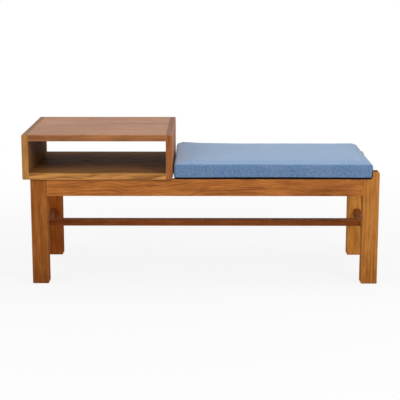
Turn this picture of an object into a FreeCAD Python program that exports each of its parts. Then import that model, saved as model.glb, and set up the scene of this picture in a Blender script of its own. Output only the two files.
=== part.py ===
import FreeCAD, Part
import math
import os

V = FreeCAD.Vector

# Telephone bench: an oak frame on four legs, an open box fixed over its left end
# and a loose seat cushion over the rest.
# X runs along the bench, Y from front to back, Z up. The origin is on the floor,
# under the middle of the whole bench. All sizes are in millimetres.

# Overall
overall_length = 1200.0
frame_depth = 456.0
seat_plane = 362.0
box_overhang_left = 25.0
box_overhang_front = 9.0

# Legs and rails
leg_width = 55.0
leg_depth = 48.0
rail_height = 57.0
rail_thickness = 25.0
end_rail_thickness = 23.0
upstand_height = 25.0
upstand_width = 23.0
cove_radius = 11.0
upstand_round = 6.0
eased_edge = 2.0
foot_round = 4.5

# Tenons of the rails
rail_tenon_thickness = 9.0
rail_tenon_length = 28.0
end_rail_tenon_length = 22.0
rail_tenon_shoulder = 8.0

# Low stretchers
stretcher_top = 178.0
side_stretcher_height = 33.0
side_stretcher_thickness = 20.0
side_stretcher_inset = 24.0
long_stretcher_height = 23.0
long_stretcher_depth = 30.0
stretcher_tenon_thickness = 8.0
stretcher_tenon_shoulder = 6.0
side_stretcher_tenon_length = 20.0
long_stretcher_tenon_length = 12.0

# Cross bearers let into the long rails
box_bearer_count = 2
seat_bearer_count = 3
bearer_width = 50.0
bearer_thickness = 18.0
bearer_housing = 12.0
bearer_inset = 62.0

# Open box
box_length = 504.0
box_height = 152.0
board_thickness = 22.0
box_eased_edge = 3.5
tongue_thickness = 7.0
tongue_length = 8.0
tongue_stop = 18.0

# Seat cushion
cushion_gap_box = 4.0
cushion_gap_upstand = 4.5
cushion_front_inset = 1.0
lining_thickness = 1.0
cushion_board_thickness = 7.0
cushion_side_height = 43.0
cushion_crown = 9.0
cushion_corner_round = 10.0
cushion_corner_tightening = 0.5
cushion_corner_least = 2.0
cushion_draw_in = 3.0
cover_thickness = 1.6
cushion_board_inset = 1.0
cushion_board_round = 6.0
lower_round_steps = 3

# Screws
screw_diameter = 4.0
screw_head_diameter = 8.0
screw_head_height = 2.4
screw_point_length = 4.0
screw_tip_radius = 0.4
screw_slot = 1.0
screw_sides = 12
bearer_screw_length = 36.0
box_screw_length = 32.0
screw_sink = 0.4
box_screw_inset = 60.0

# Fits
tenon_clearance = 0.15
tenon_end_clearance = 1.0
housing_clearance = 0.15
tongue_clearance = 0.1
screw_hole_clearance = 0.25

# How far a cut runs out past the face that it opens, and how near counts as touching
cut_past = 1.0
touching = 1e-6

# Places worked out from the sizes above
x_right = overall_length / 2
x_box_left = -overall_length / 2
x_box_right = x_box_left + box_length
x_left = x_box_left + box_overhang_left
y_front = -frame_depth / 2
y_back = frame_depth / 2
x_leg_left = x_left + leg_width
x_leg_right = x_right - leg_width
y_leg_front = y_front + leg_depth
y_leg_back = y_back - leg_depth
z_rail_bottom = seat_plane - rail_height
z_upstand_top = seat_plane + upstand_height
x_upstand = x_right - upstand_width
leg_bounds = {"left": (x_left, x_leg_left), "right": (x_leg_right, x_right)}


def block(x0, x1, y0, y1, z0, z1):
    return Part.makeBox(x1 - x0, y1 - y0, z1 - z0, V(x0, y0, z0))


def along(edge, axis):
    """True for a straight edge that runs along one axis."""
    if not isinstance(edge.Curve, (Part.Line, Part.LineSegment)):
        return False
    run = edge.Vertexes[-1].Point - edge.Vertexes[0].Point
    return abs(abs(run.dot(axis)) - run.Length) < touching


def eased(shape, axis, radius):
    """A piece with the long edges along one axis rounded over."""
    edges = [edge for edge in shape.Edges if along(edge, axis)]
    return shape.makeFillet(radius, edges)


def rounded_wire(corners):
    """A closed outline with square corners, each given as a point and its radius."""
    edges = []
    for place, (point, radius) in enumerate(corners):
        following, next_radius = corners[(place + 1) % len(corners)]
        back = (corners[place - 1][0] - point).normalize()
        ahead = (following - point).normalize()
        leave = point + ahead * radius
        if radius > 0:
            bow = point + (back + ahead) * radius * (1 - math.sin(math.pi / 4))
            edges.append(Part.Arc(point + back * radius, bow, leave).toShape())
        edges.append(Part.LineSegment(leave, following - ahead * next_radius).toShape())
    return Part.Wire(edges)


# Each leg is one length of oak with rounded feet. The right pair rise past the seat in
# an upstand with a cove at its foot. A leg is what its plan, front and side have in common.
def leg_front_outline(side):
    x0, x1 = leg_bounds[side]
    if side == "left":
        top = [(V(x0, 0, seat_plane), 0), (V(x1, 0, seat_plane), 0)]
    else:
        top = [
            (V(x0, 0, seat_plane), 0),
            (V(x_upstand, 0, seat_plane), cove_radius),
            (V(x_upstand, 0, z_upstand_top), eased_edge),
            (V(x1, 0, z_upstand_top), upstand_round),
        ]
    return rounded_wire([(V(x1, 0, 0), foot_round), (V(x0, 0, 0), foot_round)] + top)


def leg_side_outline(y0, y1, top):
    return rounded_wire([
        (V(0, y0, 0), foot_round),
        (V(0, y1, 0), foot_round),
        (V(0, y1, top), 0),
        (V(0, y0, top), 0),
    ])


def leg_blank(side, end):
    x0, x1 = leg_bounds[side]
    y0 = y_front if end == "front" else y_leg_back
    top = seat_plane if side == "left" else z_upstand_top
    solid = eased(block(x0, x1, y0, y0 + leg_depth, 0, top), V(0, 0, 1), eased_edge)
    front = Part.Face(leg_front_outline(side)).extrude(V(0, leg_depth, 0))
    front.translate(V(0, y0, 0))
    flank = Part.Face(leg_side_outline(y0, y0 + leg_depth, top)).extrude(V(x1 - x0, 0, 0))
    flank.translate(V(x0, 0, 0))
    return solid.common(front).common(flank)


# A tenon and its mortise come from the same block: the tenon is the block and the
# mortise is the block grown by the clearances.
def tenon_block(bounds, into, grow, end_grow):
    x0, x1, y0, y1, z0, z1 = bounds
    if into == "x":
        return block(x0 - end_grow, x1 + end_grow, y0 - grow, y1 + grow, z0 - grow, z1 + grow)
    return block(x0 - grow, x1 + grow, y0 - end_grow, y1 + end_grow, z0 - grow, z1 + grow)


def rail_y(end):
    if end == "front":
        return y_front, y_front + rail_thickness
    return y_back - rail_thickness, y_back


def rail_tenons(end):
    y0, y1 = rail_y(end)
    middle = (y0 + y1) / 2
    half = rail_tenon_thickness / 2
    low = z_rail_bottom + rail_tenon_shoulder
    high = seat_plane - rail_tenon_shoulder
    return {
        "left": (x_leg_left - rail_tenon_length, x_leg_left, middle - half, middle + half, low, high),
        "right": (x_leg_right, x_leg_right + rail_tenon_length, middle - half, middle + half, low, high),
    }


def end_rail_x(side):
    if side == "left":
        return x_left, x_left + end_rail_thickness
    return x_right - end_rail_thickness, x_right


def end_rail_tenons(side):
    x0, x1 = end_rail_x(side)
    middle = (x0 + x1) / 2
    half = rail_tenon_thickness / 2
    low = z_rail_bottom + rail_tenon_shoulder
    high = seat_plane - rail_tenon_shoulder
    return {
        "front": (middle - half, middle + half, y_leg_front - end_rail_tenon_length, y_leg_front, low, high),
        "back": (middle - half, middle + half, y_leg_back, y_leg_back + end_rail_tenon_length, low, high),
    }


def side_stretcher_x(side):
    if side == "left":
        inner = x_leg_left - side_stretcher_inset
        return inner - side_stretcher_thickness, inner
    inner = x_leg_right + side_stretcher_inset
    return inner, inner + side_stretcher_thickness


def side_stretcher_tenons(side):
    x0, x1 = side_stretcher_x(side)
    middle = (x0 + x1) / 2
    half = stretcher_tenon_thickness / 2
    low = stretcher_top - side_stretcher_height + stretcher_tenon_shoulder
    high = stretcher_top - stretcher_tenon_shoulder
    length = side_stretcher_tenon_length
    return {
        "front": (middle - half, middle + half, y_leg_front - length, y_leg_front, low, high),
        "back": (middle - half, middle + half, y_leg_back, y_leg_back + length, low, high),
    }


def long_stretcher_tenons():
    half_depth = long_stretcher_depth / 2 - stretcher_tenon_shoulder
    low = stretcher_top - long_stretcher_height + stretcher_tenon_shoulder
    high = stretcher_top - stretcher_tenon_shoulder
    left = side_stretcher_x("left")[1]
    right = side_stretcher_x("right")[0]
    return {
        "left": (left - long_stretcher_tenon_length, left, -half_depth, half_depth, low, high),
        "right": (right, right + long_stretcher_tenon_length, -half_depth, half_depth, low, high),
    }


def leg(side, end):
    solid = leg_blank(side, end)
    cuts = [
        tenon_block(rail_tenons(end)[side], "x", tenon_clearance, tenon_end_clearance),
        tenon_block(end_rail_tenons(side)[end], "y", tenon_clearance, tenon_end_clearance),
        tenon_block(side_stretcher_tenons(side)[end], "y", tenon_clearance, tenon_end_clearance),
    ]
    for cut in cuts:
        solid = solid.cut(cut)
    return solid


# Bearers lie in stopped housings, cut down from the top of the long rails.
def spread(count, low, high):
    """Middles of bearers spread evenly between two ends."""
    first = low + bearer_inset
    step = (high - bearer_inset - first) / (count - 1)
    return [first + step * place for place in range(count)]


def box_bearer_middles():
    return spread(box_bearer_count, x_leg_left, x_box_right)


def bearer_middles():
    return box_bearer_middles() + spread(seat_bearer_count, x_box_right, x_leg_right)


bearer_y = y_back - rail_thickness + bearer_housing


def bearer_bounds(middle):
    half = bearer_width / 2
    return middle - half, middle + half, -bearer_y, bearer_y, seat_plane - bearer_thickness, seat_plane


def ring(radius, height):
    """A many sided ring, which stands for a circle on these small pieces."""
    turn = 2 * math.pi / screw_sides
    points = [V(radius * math.cos(turn * side), radius * math.sin(turn * side), height)
              for side in range(screw_sides)]
    return Part.makePolygon(points + points[:1])


def screw(length):
    """A countersunk wood screw, head up, with the top of its head at the origin."""
    radius = screw_diameter / 2
    head = screw_head_diameter / 2
    rings = [ring(head, 0), ring(radius, -screw_head_height),
             ring(radius, screw_point_length - length), ring(screw_tip_radius, -length)]
    slot = block(-head, head, -screw_slot / 2, screw_slot / 2, -screw_slot, cut_past)
    return Part.makeLoft(rings, True, True).cut(slot)


def screw_hole(length, grow):
    """What a screw of this length leaves in the wood, opening upwards past its head."""
    radius = screw_diameter / 2 + grow
    head = screw_head_diameter / 2
    rings = [ring(head, cut_past), ring(head, 0), ring(radius, -screw_head_height), ring(radius, -length)]
    return Part.makeLoft(rings, True, True)


def bearer_screw_places():
    y = bearer_y - bearer_housing / 2
    height = seat_plane - screw_sink
    return [V(middle, y * end, height) for middle in bearer_middles() for end in (-1, 1)]


def box_screw_places():
    y = y_back - rail_thickness - box_screw_inset
    height = seat_plane - bearer_thickness + screw_sink
    return [V(middle, y * end, height) for middle in box_bearer_middles() for end in (-1, 1)]


def placed(shape, place, upside_down=False):
    copy = shape.copy()
    if upside_down:
        copy.rotate(V(0, 0, 0), V(1, 0, 0), 180)
    copy.translate(place)
    return copy


def bearer_screws():
    solid = screw(bearer_screw_length)
    return Part.makeCompound([placed(solid, place) for place in bearer_screw_places()])


def box_screws():
    solid = screw(box_screw_length)
    return Part.makeCompound([placed(solid, place, True) for place in box_screw_places()])


def bearer_screw_holes(grow):
    hole = screw_hole(bearer_screw_length, grow)
    return [placed(hole, place) for place in bearer_screw_places()]


def box_screw_holes(grow):
    hole = screw_hole(box_screw_length, grow)
    return [placed(hole, place, True) for place in box_screw_places()]


def near(holes, x0, x1, y0, y1):
    """The holes whose middles are inside a rectangle seen from above."""
    inside = []
    for hole in holes:
        centre = hole.BoundBox.Center
        if x0 < centre.x < x1 and y0 < centre.y < y1:
            inside.append(hole)
    return inside


def bearer(middle):
    x0, x1, y0, y1, z0, z1 = bearer_bounds(middle)
    solid = eased(block(x0, x1, y0, y1, z0, z1), V(0, 1, 0), eased_edge)
    holes = bearer_screw_holes(screw_hole_clearance) + box_screw_holes(screw_hole_clearance)
    for hole in near(holes, x0, x1, y0, y1):
        solid = solid.cut(hole)
    return solid


def long_rail(end):
    y0, y1 = rail_y(end)
    solid = eased(block(x_leg_left, x_leg_right, y0, y1, z_rail_bottom, seat_plane), V(1, 0, 0), eased_edge)
    for bounds in rail_tenons(end).values():
        solid = solid.fuse(tenon_block(bounds, "x", 0, 0))
    for middle in bearer_middles():
        bx0, bx1, by0, by1, bz0, bz1 = bearer_bounds(middle)
        solid = solid.cut(block(bx0 - housing_clearance, bx1 + housing_clearance,
                                by0 - housing_clearance, by1 + housing_clearance,
                                bz0, bz1 + cut_past))
    for hole in near(bearer_screw_holes(0), x_leg_left, x_leg_right, y0, y1):
        solid = solid.cut(hole)
    return solid.removeSplitter()


def end_rail(side):
    x0, x1 = end_rail_x(side)
    solid = block(x0, x1, y_leg_front, y_leg_back, z_rail_bottom, seat_plane)
    solid = eased(solid, V(0, 1, 0), eased_edge)
    for bounds in end_rail_tenons(side).values():
        solid = solid.fuse(tenon_block(bounds, "y", 0, 0))
    return solid.removeSplitter()


def side_stretcher(side):
    x0, x1 = side_stretcher_x(side)
    low = stretcher_top - side_stretcher_height
    solid = eased(block(x0, x1, y_leg_front, y_leg_back, low, stretcher_top), V(0, 1, 0), eased_edge)
    for bounds in side_stretcher_tenons(side).values():
        solid = solid.fuse(tenon_block(bounds, "y", 0, 0))
    solid = solid.cut(tenon_block(long_stretcher_tenons()[side], "x", tenon_clearance, tenon_end_clearance))
    return solid.removeSplitter()


def long_stretcher():
    x0 = side_stretcher_x("left")[1]
    x1 = side_stretcher_x("right")[0]
    half = long_stretcher_depth / 2
    low = stretcher_top - long_stretcher_height
    solid = eased(block(x0, x1, -half, half, low, stretcher_top), V(1, 0, 0), eased_edge)
    for bounds in long_stretcher_tenons().values():
        solid = solid.fuse(tenon_block(bounds, "x", 0, 0))
    return solid.removeSplitter()


# The box: two side boards the full height, and a top and a bottom board between
# them on stopped tongues.
box_y = frame_depth / 2 + box_overhang_front
z_box_top = seat_plane + box_height
box_levels = {"bottom": seat_plane, "top": z_box_top - board_thickness}


def tongue_bounds(level, side):
    middle = box_levels[level] + board_thickness / 2
    half = tongue_thickness / 2
    y0 = -box_y + tongue_stop
    y1 = box_y - tongue_stop
    if side == "left":
        x1 = x_box_left + board_thickness
        return x1 - tongue_length, x1, y0, y1, middle - half, middle + half
    x0 = x_box_right - board_thickness
    return x0, x0 + tongue_length, y0, y1, middle - half, middle + half


def box_side(side):
    x0 = x_box_left if side == "left" else x_box_right - board_thickness
    outer = x0 if side == "left" else x0 + board_thickness
    solid = block(x0, x0 + board_thickness, -box_y, box_y, seat_plane, z_box_top)
    solid = eased(solid, V(1, 0, 0), box_eased_edge)
    rim = [edge for edge in solid.Edges if abs(edge.BoundBox.XMin - outer) < touching
           and abs(edge.BoundBox.XMax - outer) < touching]
    solid = solid.makeFillet(box_eased_edge, rim)
    for level in box_levels:
        solid = solid.cut(tenon_block(tongue_bounds(level, side), "x", tongue_clearance, tongue_clearance))
    return solid


def box_board(level):
    z0 = box_levels[level]
    x0 = x_box_left + board_thickness
    x1 = x_box_right - board_thickness
    solid = eased(block(x0, x1, -box_y, box_y, z0, z0 + board_thickness), V(1, 0, 0), box_eased_edge)
    for side in ("left", "right"):
        solid = solid.fuse(tenon_block(tongue_bounds(level, side), "x", 0, 0))
    if level == "bottom":
        for hole in box_screw_holes(0):
            solid = solid.cut(hole)
    return solid.removeSplitter()


# The cushion lies loose between the box and the right upstands.
x_cushion_left = x_box_right + cushion_gap_box
x_cushion_right = x_upstand - cushion_gap_upstand
y_cushion = frame_depth / 2 - cushion_front_inset
z_lining_top = seat_plane + lining_thickness + cushion_board_thickness


def cushion_corners(inset, height):
    """Where each rounded corner starts, its middle and where it ends."""
    x0 = x_cushion_left + inset
    x1 = x_cushion_right - inset
    y = y_cushion - inset
    radius = max(cushion_corner_round - inset * cushion_corner_tightening, cushion_corner_least)
    bend = radius * (1 - math.sin(math.pi / 4))
    return [
        (V(x1, y - radius, height), V(x1 - bend, y - bend, height), V(x1 - radius, y, height)),
        (V(x0 + radius, y, height), V(x0 + bend, y - bend, height), V(x0, y - radius, height)),
        (V(x0, -y + radius, height), V(x0 + bend, -y + bend, height), V(x0 + radius, -y, height)),
        (V(x1 - radius, -y, height), V(x1 - bend, -y + bend, height), V(x1, -y + radius, height)),
    ]


def straight_outline(inset, height, cut_corners=False):
    """A rectangle with straight sides and corners that are round or cut with a knife."""
    corners = cushion_corners(inset, height)
    edges = []
    for place, (start, bow, end) in enumerate(corners):
        if cut_corners:
            edges.append(Part.LineSegment(start, bow).toShape())
            edges.append(Part.LineSegment(bow, end).toShape())
        else:
            edges.append(Part.Arc(start, bow, end).toShape())
        following = corners[(place + 1) % len(corners)][0]
        edges.append(Part.LineSegment(end, following).toShape())
    return Part.Wire(edges)


def drawn_outline(inset, height):
    """A rounded rectangle whose sides are drawn in between its corners by a small arc."""
    corners = cushion_corners(inset, height)
    edges = []
    for place, (start, bow, end) in enumerate(corners):
        following = corners[(place + 1) % len(corners)][0]
        middle = (end + following) * 0.5
        inward = V(x_cushion_left + x_cushion_right, 0, 2 * height) * 0.5 - middle
        inward.normalize()
        edges.append(Part.Arc(start, bow, end).toShape())
        edges.append(Part.Arc(end, middle + inward * cushion_draw_in, following).toShape())
    return Part.Wire(edges)


# Each level of the cushion: its share of the side height and of the crown, and how
# far its outline is inside the widest one. The foam has fewer levels than its cover.
cover_levels = [
    (0.0, 0.0, 2.0),
    (0.2, 0.0, 0.4),
    (0.75, 0.0, 0.4),
    (0.93, 0.0, 2.8),
    (1.0, 0.1, 6.5),
    (1.0, 0.5, 18.0),
    (1.0, 0.88, 50.0),
    (1.0, 1.0, 120.0),
]
foam_levels = [cover_levels[0], cover_levels[2], cover_levels[4], cover_levels[7]]


def cushion_foam():
    """Foam cut with a knife: straight sides and trimmed corners, inside the cover's draw."""
    inset = cover_thickness + cushion_draw_in
    wires = []
    for side_share, crown_share, level_inset in foam_levels:
        rise = (cushion_side_height - cover_thickness) * side_share + cushion_crown * crown_share
        wires.append(straight_outline(level_inset + inset, z_lining_top + rise, True))
    return Part.makeLoft(wires, True, True)


def cushion_cover():
    """Wool cloth with a full crown, whose sides pull in between the corners."""
    wires = []
    for side_share, crown_share, level_inset in cover_levels:
        rise = cushion_side_height * side_share + cushion_crown * crown_share
        wires.append(drawn_outline(level_inset, z_lining_top + rise))
    return Part.makeLoft(wires, True, True).cut(cushion_foam())


def rounded_plate(inset, z0, z1, lower_round):
    """A plate with rounded corners, rounded under all round its lower edge."""
    wires = []
    for share in range(lower_round_steps + 1):
        angle = math.pi / 2 * share / lower_round_steps
        drawn = lower_round * (1 - math.sin(angle))
        height = z0 + lower_round * (1 - math.cos(angle))
        wires.append(straight_outline(inset + drawn, height))
    wires.append(straight_outline(inset, z1))
    return Part.makeLoft(wires, True, True)


def cushion_board():
    inset = cushion_board_inset + lining_thickness
    return rounded_plate(inset, seat_plane + lining_thickness, z_lining_top,
                         cushion_board_round - lining_thickness)


def cushion_lining():
    """Black lining cloth, pulled up round the edge of the base board."""
    outer = rounded_plate(cushion_board_inset, seat_plane, z_lining_top, cushion_board_round)
    return outer.cut(cushion_board())


def write(name, shape):
    if not shape.isValid():
        raise ValueError(name + " is not a valid shape")
    shape.exportStep("parts/" + name + ".step")


def build():
    pieces = {}
    for side in ("left", "right"):
        for end in ("front", "back"):
            pieces[end + "_" + side + "_leg"] = leg(side, end)
        pieces[side + "_end_rail"] = end_rail(side)
        pieces[side + "_side_stretcher"] = side_stretcher(side)
        pieces["box_" + side + "_side"] = box_side(side)
    for end in ("front", "back"):
        pieces[end + "_long_rail"] = long_rail(end)
    for level in box_levels:
        pieces["box_" + level + "_board"] = box_board(level)
    pieces["long_stretcher"] = long_stretcher()
    for number, middle in enumerate(bearer_middles(), 1):
        pieces["bearer_" + str(number)] = bearer(middle)
    pieces["bearer_screws"] = bearer_screws()
    pieces["box_screws"] = box_screws()
    pieces["cushion_cover"] = cushion_cover()
    pieces["cushion_foam"] = cushion_foam()
    pieces["cushion_board"] = cushion_board()
    pieces["cushion_lining"] = cushion_lining()
    return pieces


os.makedirs("parts", exist_ok=True)
for name, shape in build().items():
    write(name, shape)
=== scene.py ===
import bmesh
import bpy
import math
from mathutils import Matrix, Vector, noise


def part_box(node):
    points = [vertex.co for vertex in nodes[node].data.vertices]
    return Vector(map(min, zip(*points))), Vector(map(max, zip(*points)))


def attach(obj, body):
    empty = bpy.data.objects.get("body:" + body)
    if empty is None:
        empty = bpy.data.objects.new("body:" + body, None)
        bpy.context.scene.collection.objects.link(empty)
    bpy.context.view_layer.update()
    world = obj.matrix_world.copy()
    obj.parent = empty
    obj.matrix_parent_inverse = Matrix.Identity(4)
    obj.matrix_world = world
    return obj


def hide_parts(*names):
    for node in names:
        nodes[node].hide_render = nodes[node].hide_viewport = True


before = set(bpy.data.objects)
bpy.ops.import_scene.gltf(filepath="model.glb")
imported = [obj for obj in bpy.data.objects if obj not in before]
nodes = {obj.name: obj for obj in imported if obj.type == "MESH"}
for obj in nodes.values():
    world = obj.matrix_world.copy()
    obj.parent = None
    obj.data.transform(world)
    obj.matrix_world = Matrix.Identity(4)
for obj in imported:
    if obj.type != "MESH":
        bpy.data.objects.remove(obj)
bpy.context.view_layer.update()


# Legs
# Four lengths of oiled oak, sawn and planed, with eased edges and rounded feet. The right
# pair rise past the seat as short upstands. Their grain runs up the leg.
class Signal:
    """A socket of a material. Sums on signals add Math nodes, and node() adds any other node."""

    def __init__(self, tree, socket=None):
        self.tree = tree
        self.socket = socket

    def node(self, kind, settings=None, inputs=None, output=0):
        made = self.tree.nodes.new(kind)
        for name, value in (settings or {}).items():
            if name == "stops":
                ramp = made.color_ramp
                while len(ramp.elements) < len(value):
                    ramp.elements.new(0.5)
                for element, (place, level) in zip(ramp.elements, value):
                    element.position = place
                    element.color = (level, level, level, 1)
            else:
                setattr(made, name, value)
        for key, value in (inputs or {}).items():
            if isinstance(value, Signal):
                self.tree.links.new(value.socket, made.inputs[key])
            else:
                made.inputs[key].default_value = value
        return Signal(self.tree, made.outputs[output]) if len(made.outputs) else None

    def maths(self, operation, first, second=0.0):
        return self.node("ShaderNodeMath", {"operation": operation}, {0: first, 1: second})

    def __add__(self, other):
        return self.maths("ADD", self, other)

    def __radd__(self, other):
        return self.maths("ADD", other, self)

    def __sub__(self, other):
        return self.maths("SUBTRACT", self, other)

    def __rsub__(self, other):
        return self.maths("SUBTRACT", other, self)

    def __mul__(self, other):
        return self.maths("MULTIPLY", self, other)

    def __rmul__(self, other):
        return self.maths("MULTIPLY", other, self)

    def __truediv__(self, other):
        return self.maths("DIVIDE", self, other)

    def __rtruediv__(self, other):
        return self.maths("DIVIDE", other, self)

    def __pow__(self, other):
        return self.maths("POWER", self, other)

    def least(self, other):
        return self.maths("MINIMUM", self, other)

    def most(self, other):
        return self.maths("MAXIMUM", self, other)

    def sine(self):
        return self.maths("SINE", self)

    def between(self, low, high):
        """0 below low, 1 above high and smooth between them."""
        return self.node("ShaderNodeMapRange", {"interpolation_type": "SMOOTHSTEP"},
                         {"Value": self, "From Min": low, "From Max": high})

    def ramp(self, stops):
        return self.node("ShaderNodeValToRGB", {"stops": stops}, {"Fac": self})

    def axes(self):
        """The parts of a place or a direction along x, y and z."""
        return [self.node("ShaderNodeSeparateXYZ", None, {0: self}, output=axis)
                for axis in "XYZ"]


def painted(red, green, blue):
    """A colour from the numbers of a paint chart, 0 to 255, as light."""
    def light(value):
        value /= 255
        return value / 12.92 if value <= 0.04045 else ((value + 0.055) / 1.055) ** 2.4
    return light(red), light(green), light(blue), 1.0


def blended(share, first, second):
    """Two colours mixed by a share. Sockets 6 and 7 of the node take colours, 2 gives one."""
    return share.node("ShaderNodeMix", {"data_type": "RGBA"},
                      {0: share, 6: first, 7: second}, output=2)


def vector(x, y, z):
    signal = next(value for value in (x, y, z) if isinstance(value, Signal))
    return signal.node("ShaderNodeCombineXYZ", None, {"X": x, "Y": y, "Z": z})


def patches(place, scale=1.0, detail=2.0, roughness=0.5, distortion=0.0):
    """Soft random patches, about 0 to 1, of one over scale metres."""
    return place.node("ShaderNodeTexNoise", {"noise_dimensions": "3D"}, {
        "Vector": place, "Scale": scale, "Detail": detail, "Roughness": roughness,
        "Distortion": distortion})


def inside_of(parts, room, soft):
    """1 inside a box of space and 0 outside it, changing over soft metres each way."""
    share = None
    for axis, low_side, high_side in zip("xyz", room[0], room[1]):
        slot = (parts[axis].between(low_side - soft, low_side + soft)
                * (1 - parts[axis].between(high_side - soft, high_side + soft)))
        share = slot if share is None else share * slot
    return share


def new_finish(name):
    material = bpy.data.materials.new(name)
    material.use_nodes = True
    material.node_tree.nodes.clear()
    return material, Signal(material.node_tree)


def shaded(start, colour, roughness, height, depth, strength=0.6, **constants):
    """The shader of a finish, with its grain raised by a bump of a given depth in metres."""
    bump = start.node("ShaderNodeBump", None, {
        "Strength": strength, "Distance": depth, "Height": height})
    inputs = {"Base Color": colour, "Roughness": roughness, "Normal": bump}
    for key, value in constants.items():
        inputs[key.replace("_", " ").title().replace("Ior", "IOR")] = value
    return start.node("ShaderNodeBsdfPrincipled", None, inputs)


def finished(start, shader):
    start.node("ShaderNodeOutputMaterial", None, {"Surface": shader})


def tinted(tone, tint):
    return tuple(part * share for part, share in zip(tone, tint)) + (1.0,)


# How many patches the wood's marks have to the metre, along the fibre and across it
fibre_along, fibre_across = 20.0, 290.0
streak_along, streak_across = 6.0, 85.0
mottle_along, mottle_across = 15.0, 42.0
pore_along, pore_across = 55.0, 1300.0
cloud_along, cloud_across = 1.6, 4.0
wander_across = 7.0
drift_across = 5.0

pale_tint = (1.50, 1.55, 1.30)
dark_tint = (0.48, 0.37, 0.20)
end_tone = painted(116, 76, 54)
# painted shade: the dark grey-brown that the inside of the box is painted towards
inside_shade_tone = painted(82, 66, 56)
ring_stops = [(0.0, 1.0), (0.16, 0.75), (0.42, 0.12), (0.8, 0.0), (0.94, 0.35), (1.0, 1.0)]
middle_depth = 0.42
ring_depth = 0.33
deepest = 0.85
wood_bump = 0.00035
dry = 0.9
wear_from, wear_to = 0.0006, 0.0045
gap_from, gap_to = 0.0002, 0.0012


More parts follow.
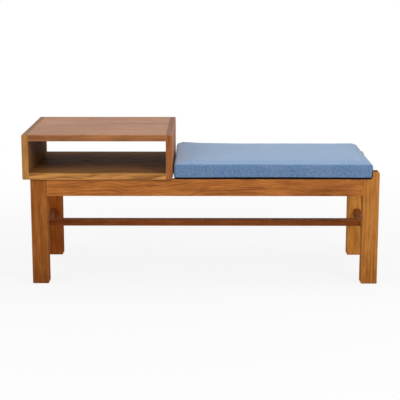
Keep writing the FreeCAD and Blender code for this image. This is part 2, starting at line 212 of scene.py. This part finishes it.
def oak(name, grain, box, tone, pith=(0.05, -0.09), lean=(0.03, 0.02), ring=0.0065,
        contrast=0.8, rings=0.42, wave=(0.028, 2.4), tone_and_light_ramp=None, sweep=None, joint_ends=False,
        shadow_room=None, oiled=1.0, unoiled_shaded_room=None, seed=0.0):
    """Oak cut from a log whose pith lies beside the board, with its rings, pores and fibre.

    grain is the axis that the fibre follows, box the two corners of what shows of the board,
    tone its middle colour, pith where the heart of the log lies across the board and lean how
    the fibre wanders from its length. ring is how wide a year is, rings how strongly the years
    show, wave how far and how often the grain wanders, and sweep arches the rings along the
    board.
    tone_and_light_ramp is an axis, two places on it and how much darker the board gets from the
    first to the second, or lighter where the amount is negative: a change of tone along the front
    rail, painted shade towards the feet of the legs and a painted reflection on the outer face of
    the box's right side. shadow_room is a box of space darkened with painted shade, where the box
    shades the tops of the legs and rails. oiled is the share of the sheen, and
    unoiled_shaded_room the box of space whose faces were left without oil and are painted darker
    and greyer there as painted shade."""
    light = tinted(tone, pale_tint)
    dark = tinted(tone, dark_tint)
    material, start = new_finish(name)
    place = start.node("ShaderNodeTexCoord", output="Object")
    parts = dict(zip("xyz", place.axes()))
    across, up = [axis for axis in "xyz" if axis != grain]
    low, high = dict(zip("xyz", box[0])), dict(zip("xyz", box[1]))
    middle = {axis: (low[axis] + high[axis]) / 2 for axis in "xyz"}
    along = parts[grain] - middle[grain]
    side = parts[across] - middle[across]
    rise = parts[up] - middle[up]

    reach, often = wave
    wander = patches(vector(
        along * often + seed, side * wander_across, rise * wander_across)) - 0.5
    drift = patches(vector(
        along * often * 0.7, side * drift_across + seed, rise * drift_across)) - 0.5
    u = side - pith[0] + along * lean[0] + wander * reach
    v = rise - pith[1] + along * lean[1] + drift * reach
    if sweep:
        centre, left_fall, left_width, right_fall, right_width = sweep
        away = along - centre
        left = away.least(0.0) / left_width
        right = away.most(0.0) / right_width
        v = (v + left_fall * (1 - 1 / (1 + left * left))
             + right_fall * (1 - 1 / (1 + right * right)))
    heart = (u * u + v * v) ** 0.5
    uneven = patches(vector(heart * 22.0, along * 0.9, seed), detail=1.0) - 0.5
    years = heart / ring + uneven * 4.0
    early = years.maths("FRACT", years).ramp(ring_stops)

    fibre = patches(vector(along * fibre_along, side * fibre_across, rise * fibre_across + seed),
                    detail=3.0, roughness=0.6)
    streak = patches(vector(
        along * streak_along + seed, side * streak_across, rise * streak_across), roughness=0.55)
    mottle = patches(vector(
        along * mottle_along + seed, side * mottle_across, rise * mottle_across),
        roughness=0.55, distortion=0.4)
    pore = patches(vector(along * pore_along, side * pore_across, rise * pore_across + seed),
                   detail=1.0)
    pores = pore.between(0.60, 0.72) * (0.35 + 0.65 * early)
    cloud = patches(vector(
        along * cloud_along + seed, side * cloud_across, rise * cloud_across))

    depth = early * rings
    for marks, weight in ((fibre, 0.8), (streak, 1.2), (mottle, 0.9), (cloud, 0.9)):
        depth = depth + (marks - 0.5) * weight
    depth = depth * contrast + middle_depth - ring_depth * rings * contrast
    # a tone ramp on the front rail, painted shade towards the feet of the legs, and a painted
    # reflection where the amount is negative
    if tone_and_light_ramp:
        axis, start_at, end_at, amount = tone_and_light_ramp
        depth = depth + parts[axis].between(start_at, end_at) * amount
    colour = blended(depth.most(0.0).least(1.0), light, dark)

    normal = start.node("ShaderNodeTexCoord", output="Normal")
    facing = dict(zip("xyz", normal.axes()))[grain]
    end_grain = (facing * facing).between(0.45, 0.8)
    near = {axis: (parts[axis] - low[axis]).least(high[axis] - parts[axis]) for axis in "xyz"}
    lesser = near["x"].least(near["y"])
    greater = near["x"].most(near["y"])
    edge = lesser.most(greater.least(near["z"]))
    wear = 1 - edge.between(wear_from, wear_to)
    worn = wear * patches(place, 24.0).between(0.3, 0.6)
    # The wood is darkened at its pores and end grain, and with painted shade under the box and in
    # part at the ends of pieces in joints.
    darkening = pores * 0.34 + end_grain * 0.2
    # painted shade: the wood inside this box of space, under the box, is darkened as if the box
    # shaded it
    if shadow_room:
        darkening = darkening + inside_of(parts, shadow_room, 0.0008) * 0.6
    # the darkened ends of a piece are partly a glue line and partly painted shade in the joint
    if joint_ends:
        darkening = darkening + (1 - near[grain].between(gap_from, gap_to)) * 0.55
    pore_and_shade_colour = tuple(value * 0.22 for value in dark[:3]) + (1.0,)
    glow = tuple(min(1.0, value * 1.22) for value in light[:3]) + (1.0,)
    colour = blended(end_grain * 0.55, colour, end_tone)
    colour = blended(darkening.least(deepest), colour, pore_and_shade_colour)
    colour = blended(worn * 0.3, colour, glow)

    roughness = (0.46 + (fibre - 0.5) * 0.16 + pores * 0.22 + end_grain * 0.12
                 - worn * 0.06 + (cloud - 0.5) * 0.12)
    height = fibre * 0.35 - pores * 0.8 - early * 0.15
    shader = shaded(start, colour, roughness, height, wood_bump, specular_ior_level=0.32)
    if oiled < 1:
        plain = shaded(start, colour, dry, height, wood_bump, ior=1.0)
        shader = start.node("ShaderNodeMixShader", None, {0: 1 - oiled, 1: shader, 2: plain})
    # painted shade: inside the box the wood is painted darker and greyer, and left without oil
    if unoiled_shaded_room:
        inside = inside_of(parts, unoiled_shaded_room, 0.001)
        shaded_inside_colour = blended(0.62 - fibre * 0.3, colour, inside_shade_tone)
        unoiled_in_shade = shaded(start, shaded_inside_colour, dry, height, wood_bump, ior=1.0)
        shader = start.node("ShaderNodeMixShader", None, {0: inside * 0.8, 1: shader, 2: unoiled_in_shade})
    finished(start, shader)
    return material


def dress(name, material):
    for place in nodes[name].material_slots:
        place.material = material


seat_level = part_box("front_long_rail")[1].z
# painted shade: for a few millimetres below the seat, and as far right as just past the box, the
# legs and rails are darkened as if the box shaded them
shadow_depth = 0.0032
shadow_past = 0.002
shade_under_box = ((-1.0, -1.0, seat_level - shadow_depth),
             (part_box("box_right_side")[1].x + shadow_past, 1.0, 1.0))
# The legs' tones are partly their own wood and partly painted light: the right pair, most of all
# the back right, are painted lighter for the stronger light from the right.
leg_cuts = {
    "front_left_leg": (painted(151, 89, 43), (0.11, 0.05), (0.012, 0.02), 3.1),
    "back_left_leg": (painted(172, 96, 40), (-0.09, 0.07), (0.02, -0.015), 7.4),
    "front_right_leg": (painted(178, 116, 60), (0.10, 0.09), (-0.018, 0.012), 12.9),
    "back_right_leg": (painted(216, 146, 74), (-0.12, -0.06), (0.015, 0.02), 18.2),
}
# painted shade: each leg is darkened towards its foot over its lowest 0.2 metres, and at its top
# under the box
for name, (tone, pith, lean, seed) in leg_cuts.items():
    dress(name, oak(
        name + "_oak", "z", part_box(name), tone, pith, lean, 0.0062, rings=0.22,
        tone_and_light_ramp=("z", 0.2, 0.0, 0.2), shadow_room=shade_under_box, oiled=0.15, seed=seed))


# Long rails and end rails
# Flat lengths of oak between the legs, on tenons. The front rail is cut from near a knot,
# so its rings sweep up to the middle and fall away to the right.
left_leg_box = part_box("front_left_leg")
right_leg_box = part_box("front_right_leg")
back_leg_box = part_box("back_left_leg")


def between_legs(name, axis):
    """The part of a rail that shows: its box, cut off at the legs."""
    low, high = (Vector(corner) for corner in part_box(name))
    if axis == "x":
        low.x, high.x = left_leg_box[1].x, right_leg_box[0].x
    else:
        low.y, high.y = left_leg_box[1].y, back_leg_box[0].y
    return low, high


rail_tone = painted(179, 108, 52)
rail_oiled = 0.6
dress("front_long_rail", oak(
    "front_rail_oak", "x", between_legs("front_long_rail", "x"), rail_tone,
    (0.06, -0.16), (0.01, 0.0), 0.0085, contrast=0.8, rings=0.3, wave=(0.075, 4.2),
    tone_and_light_ramp=("x", -0.5, 0.4, 0.22), sweep=(0.11, 0.055, 0.22, 0.19, 0.42), joint_ends=True,
    shadow_room=shade_under_box, oiled=rail_oiled, seed=4.2))
dress("back_long_rail", oak(
    "back_rail_oak", "x", between_legs("back_long_rail", "x"), rail_tone,
    (-0.07, -0.12), (0.01, 0.03), 0.0075, wave=(0.05, 3.4), joint_ends=True, shadow_room=shade_under_box,
    oiled=rail_oiled, seed=9.7))
for side, seed in (("left", 21.3), ("right", 25.8)):
    name = side + "_end_rail"
    dress(name, oak(
        name + "_oak", "y", between_legs(name, "y"), rail_tone, (0.05, -0.10), (0.02, 0.035),
        0.006, joint_ends=True, shadow_room=shade_under_box, oiled=rail_oiled, seed=seed))


# Stretchers
# Slender bars of darker oak between the legs, low down: one from front to back at each end
# and one long bar between them, tenoned in.
stretcher_tone = painted(146, 78, 30)
stretcher_oiled = 0.5
for side, seed in (("left", 31.6), ("right", 35.1)):
    name = side + "_side_stretcher"
    dress(name, oak(
        name + "_oak", "y", between_legs(name, "y"), stretcher_tone, (0.04, -0.07),
        (0.02, 0.01), 0.005, joint_ends=True, oiled=stretcher_oiled, seed=seed))
dress("long_stretcher", oak(
    "long_stretcher_oak", "x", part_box("long_stretcher"), stretcher_tone,
    (0.03, -0.08), (0.004, 0.006), 0.005, oiled=stretcher_oiled, seed=38.4))


# Cross bearers and their screws
# Plain bars of pale planed wood, let into the long rails, that carry the cushion and the
# box. Countersunk steel screws hold them down, and others go up through two of them.
bearer_tone = painted(178, 134, 84)
bearer_seed = 41.0
bearer_seed_step = 3.7
bearer_names = sorted(
    name for name in nodes if name.startswith("bearer_") and name != "bearer_screws")
for number, name in enumerate(bearer_names):
    dress(name, oak(
        name + "_oak", "y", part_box(name), bearer_tone, (0.05, -0.08), (0.02, 0.01), 0.0055,
        seed=bearer_seed + number * bearer_seed_step))


def screw_steel():
    """Bright steel with turning marks and a little tarnish."""
    material, start = new_finish("screw_steel")
    place = start.node("ShaderNodeTexCoord", output="Object")
    tarnish = patches(place, 420.0, 3.0).between(0.45, 0.7)
    marks = patches(place, 2600.0)
    colour = blended(tarnish, painted(176, 172, 164), painted(120, 112, 100))
    roughness = 0.26 + tarnish * 0.25
    finished(start, shaded(start, colour, roughness, marks, 0.00006, 0.4, metallic=1.0))
    return material


steel = screw_steel()
dress("bearer_screws", steel)
dress("box_screws", steel)


# Open box
# Two side boards the full height and a top and bottom board between them, of oiled oak, left
# dry inside, where they are painted darker and greyer as painted shade. The boards come from
# different planks, and some have pale sapwood.
def side_to_side(name):
    """The part of a level board that shows between the side boards."""
    low, high = (Vector(corner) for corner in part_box(name))
    low.x, high.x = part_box("box_left_side")[1].x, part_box("box_right_side")[0].x
    return low, high


oil_reach = 0.2335
face_margin = 0.001
box_room = ((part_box("box_left_side")[1].x - face_margin, -oil_reach,
             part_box("box_bottom_board")[1].z - face_margin),
            (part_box("box_right_side")[0].x + face_margin, oil_reach,
             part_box("box_top_board")[0].z + face_margin))
cushion_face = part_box("box_right_side")[1].x
dress("box_top_board", oak(
    "box_top_oak", "x", side_to_side("box_top_board"), painted(152, 96, 56),
    (0.05, -0.11), (0.03, 0.01), 0.0085, joint_ends=True, unoiled_shaded_room=box_room, seed=51.2))
dress("box_bottom_board", oak(
    "box_bottom_oak", "x", side_to_side("box_bottom_board"), painted(178, 121, 64),
    (0.02, -0.10), (0.02, 0.03), 0.009, contrast=1.0, rings=0.6, wave=(0.06, 3.0),
    joint_ends=True, unoiled_shaded_room=box_room, seed=55.9))
dress("box_left_side", oak(
    "box_left_oak", "z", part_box("box_left_side"), painted(168, 116, 60),
    (0.09, -0.07), (0.02, 0.02), 0.0075, unoiled_shaded_room=box_room, seed=61.7))
# painted reflection: the right side's outer face, towards the cushion, is painted lighter, for
# the pale sheen it shows seen nearly edge on
dress("box_right_side", oak(
    "box_right_oak", "z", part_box("box_right_side"), painted(146, 86, 44), (0.08, 0.06),
    (0.02, -0.03), 0.0075, tone_and_light_ramp=("x", cushion_face - 0.0025, cushion_face - 0.0002, -0.4),
    unoiled_shaded_room=box_room, seed=66.3))


# Cushion board and foam
# A plate of birch plywood under the cushion, with its plies showing at the edge, and the
# cut foam on it. Both are closed in by the cover and the lining.
ply_thickness = 0.0014


def plywood():
    material, start = new_finish("birch_plywood")
    place = start.node("ShaderNodeTexCoord", output="Object")
    x, y, z = place.axes()
    ply = z.maths("PINGPONG", z / ply_thickness, 1.0)
    fibre = patches(vector(x * 8.0, y * 260.0, z * 260.0), detail=3.0)
    share = fibre * 0.5 + ply.between(0.3, 0.7) * 0.35
    colour = blended(share, painted(222, 192, 148), painted(168, 128, 82))
    finished(start, shaded(start, colour, 0.62 + fibre * 0.1, fibre, 0.0002, 0.4))
    return material


def foam():
    material, start = new_finish("cut_foam")
    place = start.node("ShaderNodeTexCoord", output="Object")
    cells = place.node("ShaderNodeTexVoronoi", None, {"Vector": place, "Scale": 700.0})
    colour = blended(cells.between(0.1, 0.7), painted(196, 186, 150), painted(232, 224, 196))
    finished(start, shaded(start, colour, 0.9 + cells * 0.05, cells, 0.0005, 0.8))
    return material


dress("cushion_board", plywood())
dress("cushion_foam", foam())


# Cushion cover
# Blue and grey melange wool cloth pulled over the foam and fixed under the board. It is full
# and soft at the edges, and pushed up a little at the back where it meets the box.
cover_low, cover_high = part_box("cushion_cover")
cover_start_inset = -0.0016
cover_corner = 0.006
cover_corner_least = 0.004
cover_corner_slack = 0.4
cover_hem = 0.0026
cover_crown = 0.009

# How far up the side, or the crown, each level stands, and how far in it lies in metres
side_levels = [(0.0, 0.0012), (0.04, 0.0), (0.2, 0.0), (0.82, 0.0), (0.92, 0.001),
               (0.98, 0.003), (1.02, 0.0062)]
crown_levels = [(0.5, 0.018), (0.9, 0.05), (1.05, 0.12)]

cover_voxel = 0.0055
cover_held = 0.003
cover_frames = 20
cover_cloth = {
    "quality": 6, "use_pressure": True, "uniform_pressure_force": 4.0,
    "tension_stiffness": 18.0, "compression_stiffness": 18.0, "shear_stiffness": 8.0,
    "bending_stiffness": 1.2,
}
cover_most_out = 0.0016
cover_most_in = 0.0006
cover_slip = 0.2


def cover_outline(inset, height, steps=6):
    """A rectangle with rounded corners, one level of the cover before it is filled."""
    radius = max(cover_corner - inset * cover_corner_slack, cover_corner_least)
    reach_x = inset + radius
    points = []
    for corner in range(4):
        centre_x = cover_high.x - reach_x if corner in (0, 3) else cover_low.x + reach_x
        centre_y = (1 if corner in (0, 1) else -1) * (cover_high.y - reach_x)
        for step in range(steps + 1):
            angle = math.pi / 2 * (corner + step / steps)
            points.append(Vector((centre_x + radius * math.cos(angle),
                                  centre_y + radius * math.sin(angle), height)))
    return points


def cover_blank():
    """The cover's shape before it is filled: straight sides, soft edges and a low crown."""
    hem = cover_low.z - cover_hem
    side = cover_high.z - hem - cover_crown
    mesh = bmesh.new()
    rings = []
    for share, inset in side_levels:
        rings.append(cover_outline(inset + cover_start_inset, hem + side * share))
    for share, inset in crown_levels:
        rings.append(cover_outline(inset + cover_start_inset, hem + side + cover_crown * share))
    loops = [[mesh.verts.new(point) for point in ring] for ring in rings]
    count = len(loops[0])
    for lower, upper in zip(loops, loops[1:]):
        for place in range(count):
            following = (place + 1) % count
            mesh.faces.new((lower[place], lower[following], upper[following], upper[place]))
    mesh.faces.new(list(reversed(loops[0])))
    mesh.faces.new(loops[-1])
    data = bpy.data.meshes.new("wool_cover")
    mesh.to_mesh(data)
    mesh.free()
    piece = bpy.data.objects.new("wool_cover", data)
    bpy.context.scene.collection.objects.link(piece)
    return piece


def settle(piece):
    """Make the piece's modifiers part of its mesh."""
    shapes = bpy.context.evaluated_depsgraph_get()
    mesh = bpy.data.meshes.new_from_object(piece.evaluated_get(shapes))
    piece.modifiers.clear()
    old = piece.data
    piece.data = mesh
    bpy.data.meshes.remove(old)


def fill(piece):
    """Blow the cover out by its filling, held where it is fixed under the board."""
    remesh = piece.modifiers.new("even_mesh", "REMESH")
    remesh.mode = "VOXEL"
    remesh.voxel_size = cover_voxel
    settle(piece)
    start = [(vertex.co.copy(), vertex.normal.copy()) for vertex in piece.data.vertices]
    lowest = cover_low.z + cover_held
    under = [vertex.index for vertex in piece.data.vertices if vertex.co.z < lowest]
    piece.vertex_groups.new(name="held").add(under, 1.0, "REPLACE")
    cloth = piece.modifiers.new("filling", "CLOTH")
    for key, value in cover_cloth.items():
        setattr(cloth.settings, key, value)
    cloth.settings.vertex_group_mass = "held"
    cloth.settings.effector_weights.gravity = 0.0
    cloth.point_cache.frame_end = cover_frames
    for moment in range(1, cover_frames + 1):
        bpy.context.scene.frame_set(moment)
    settle(piece)
    bpy.context.scene.frame_set(1)
    for vertex, (place, out) in zip(piece.data.vertices, start):
        move = vertex.co - place
        rise = move.dot(out)
        most = cover_most_out if rise > 0 else cover_most_in
        vertex.co = place + (move - out * rise) * cover_slip + out * most * math.tanh(rise / most)


cover = cover_blank()
fill(cover)
smoother = cover.modifiers.new("finer", "SUBSURF")
smoother.levels = 1
smoother.render_levels = 1
settle(cover)

lift_height = 0.0055
lift_from_box = 0.085
lift_from_back = 0.20
soft_swell, soft_count = 0.0009, 7.0
fine_swell, fine_count, fine_shift = 0.00035, 23.0, 5.0


def push_up(place):
    """How far the cushion stands up at its back left corner, and dips elsewhere, in metres."""
    share = (place.z - cover_low.z) / (cover_high.z - cover_low.z)
    from_box = (place.x - cover_low.x) / lift_from_box
    from_back = (cover_high.y - place.y) / lift_from_back
    pushed = lift_height * math.exp(-from_box * from_box) * math.exp(-from_back * from_back)
    soft = noise.noise(Vector((place.x * soft_count, place.y * soft_count, 0.0))) * soft_swell
    fine = noise.noise(Vector((
        place.x * fine_count, place.y * fine_count, place.z * fine_count + fine_shift)))
    return max(0.0, min(1.0, share)) * (pushed + soft + fine * fine_swell)


cover_draw_in = 0.001
edge_out_low, edge_out_top = 0.0018, 0.0034
edge_rise_from, edge_rise = 0.384, 0.012
edge_power = 6
cover_middle = (cover_low + cover_high) / 2
cover_half = (cover_high - cover_low) / 2
for vertex in cover.data.vertices:
    vertex.co.z += push_up(vertex.co)
    along = (vertex.co.x - cover_middle.x) / cover_half.x
    across = (vertex.co.y - cover_middle.y) / cover_half.y
    raised = max(0.0, min(1.0, (vertex.co.z - edge_rise_from) / edge_rise))
    edge_out = edge_out_low + edge_out_top * raised
    vertex.co.x += edge_out * max(0.0, along) ** edge_power
    vertex.co.x -= along * cover_draw_in * (1 - across * across)
    vertex.co.y -= across * cover_draw_in * (1 - along * along)
cover.data.polygons.foreach_set("use_smooth", [True] * len(cover.data.polygons))

wool_threads = 5200.0


def melange_wool():
    """Felted wool cloth in blue and grey yarn, with a soft nap, and its top painted paler and
    bluer as painted sheen.
    """
    material, start = new_finish("blue_wool")
    place = start.node("ShaderNodeTexCoord", output="Object")
    x, y, z = place.axes()
    yarn = patches(vector(x * 620.0, y * 620.0, z * 620.0))
    slub = patches(vector(x * 170.0, y * 120.0, z * 170.0), detail=3.0, roughness=0.6)
    cloud = patches(place, 9.0)
    threads = ((x + y) * wool_threads).sine()
    cross = ((x - y) * wool_threads + z * wool_threads).sine()
    weave = threads * cross * 0.5 + 0.5
    fleck = patches(vector(x * 330.0, y * 330.0, z * 330.0 + 3.0), detail=1.0).between(0.62, 0.72)
    share = (slub - 0.5) * 1.7 + (yarn - 0.5) * 1.1 + (cloud - 0.5) * 0.6 + 0.45
    colour = blended(share.most(0.0).least(1.0), painted(70, 112, 164), painted(134, 156, 178))
    # painted sheen: faces turned upward are painted paler and bluer
    top_painted_paler = start.node("ShaderNodeTexCoord", output="Normal").axes()[2].between(0.55, 0.97)
    colour = blended(top_painted_paler * 0.78, colour, painted(150, 180, 214))
    colour = blended(fleck * 0.35, colour, painted(176, 186, 196))
    height = weave * 0.5 + yarn * 0.6 + slub * 0.4
    finished(start, shaded(
        start, colour, 0.9 + yarn * 0.08, height, 0.0005, 0.55, sheen_weight=0.8,
        sheen_roughness=0.4, sheen_tint=painted(214, 224, 240), specular_ior_level=0.2))
    return material


cover.data.materials.append(melange_wool())
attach(cover, "cushion")
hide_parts("cushion_cover")


# Cushion lining
# Thin black cloth over the underside of the board, turned up round its edge, where it shows
# as a dark band between the wool and the rails.
lining_threads = 7000.0


def black_lining():
    material, start = new_finish("black_lining")
    place = start.node("ShaderNodeTexCoord", output="Object")
    x, y, z = place.axes()
    warp = (x * lining_threads).sine()
    weft = (y * lining_threads + z * lining_threads).sine()
    weave = warp * weft * 0.5 + 0.5
    lint = patches(place, 260.0, 3.0).between(0.55, 0.75)
    colour = blended(weave * 0.4 + lint * 0.4, painted(16, 16, 18), painted(48, 47, 50))
    finished(start, shaded(
        start, colour, 0.92 - lint * 0.05, weave, 0.0002, 0.5, specular_ior_level=0.1))
    return material


dress("cushion_lining", black_lining())


# Floor, light and camera
# A pale studio floor that keeps a soft shadow, even light with a little more from the right,
# and the camera a little above the bench and well back.
floor_reach = 40.0
floor_level = -0.0003
floor_corners = [(x * floor_reach, y * floor_reach, floor_level)
                 for x, y in ((-1, -1), (1, -1), (1, 1), (-1, 1))]
floor_mesh = bpy.data.meshes.new("floor")
floor_mesh.from_pydata(floor_corners, [], [(0, 1, 2, 3)])
floor = bpy.data.objects.new("floor", floor_mesh)
bpy.context.scene.collection.objects.link(floor)
floor_white_near = 0.86
floor_fade_from, floor_fade_to = 0.7, 2.2


def floor_paint():
    """A pale floor, which the camera sees fade to plain white away from the bench."""
    material, start = new_finish("floor_paint")
    place = start.node("ShaderNodeTexCoord", output="Object")
    away = place.node("ShaderNodeVectorMath", {"operation": "LENGTH"}, {0: place}, output="Value")
    seen = start.node("ShaderNodeLightPath", output="Is Camera Ray")
    pale = start.node("ShaderNodeBsdfDiffuse", None, {"Color": (0.86, 0.86, 0.86, 1)})
    white = start.node("ShaderNodeEmission", None, {"Color": (1, 1, 1, 1), "Strength": 1.0})
    fade = away.between(floor_fade_from, floor_fade_to)
    share = seen * (floor_white_near + (1 - floor_white_near) * fade)
    finished(start, start.node("ShaderNodeMixShader", None, {0: share, 1: pale, 2: white}))
    return material


floor_mesh.materials.append(floor_paint())

world = bpy.data.worlds.new("studio")
world.use_nodes = True
world.node_tree.nodes.clear()
sky = Signal(world.node_tree)
seen = sky.node("ShaderNodeLightPath", output="Is Camera Ray")
mirrored = sky.node("ShaderNodeLightPath", output="Is Glossy Ray")
through = sky.node("ShaderNodeLightPath", output="Is Transmission Ray")
ambient = 0.48
level = ambient + (1 - ambient) * seen.most(mirrored).most(through)
background = sky.node("ShaderNodeBackground", None, {"Color": (1, 1, 1, 1), "Strength": level})
sky.node("ShaderNodeOutputWorld", None, {"Surface": background})
bpy.context.scene.world = world


def softbox(name, place, aim, size, power):
    lamp = bpy.data.lights.new(name, "AREA")
    lamp.shape = "RECTANGLE"
    lamp.size, lamp.size_y = size
    lamp.energy = power
    box = bpy.data.objects.new(name, lamp)
    box.location = place
    box.rotation_euler = (Vector(aim) - Vector(place)).to_track_quat("-Z", "Y").to_euler()
    bpy.context.scene.collection.objects.link(box)


softbox("right_light", (1.9, -2.6, 2.3), (0.1, 0, 0.3), size=(1.6, 1.6), power=42.0)
softbox("left_light", (-2.3, -2.4, 1.8), (-0.1, 0, 0.3), size=(1.6, 1.6), power=17.0)
softbox("top_light", (0.2, 0.2, 2.8), (0, 0, 0.3), size=(2.4, 1.6), power=16.0)

bpy.context.scene.view_settings.view_transform = "Standard"
look_down = 0.198
look_left = 0.0049
lens = bpy.data.cameras.new("camera")
lens.sensor_width = 36.0
lens.lens = 107.65
camera = bpy.data.objects.new("camera", lens)
camera.location = (0.0157, -4.1813, 1.0851)
camera.rotation_euler = (math.pi / 2 - look_down, 0.0, look_left)
bpy.context.scene.collection.objects.link(camera)
bpy.context.scene.camera = camera
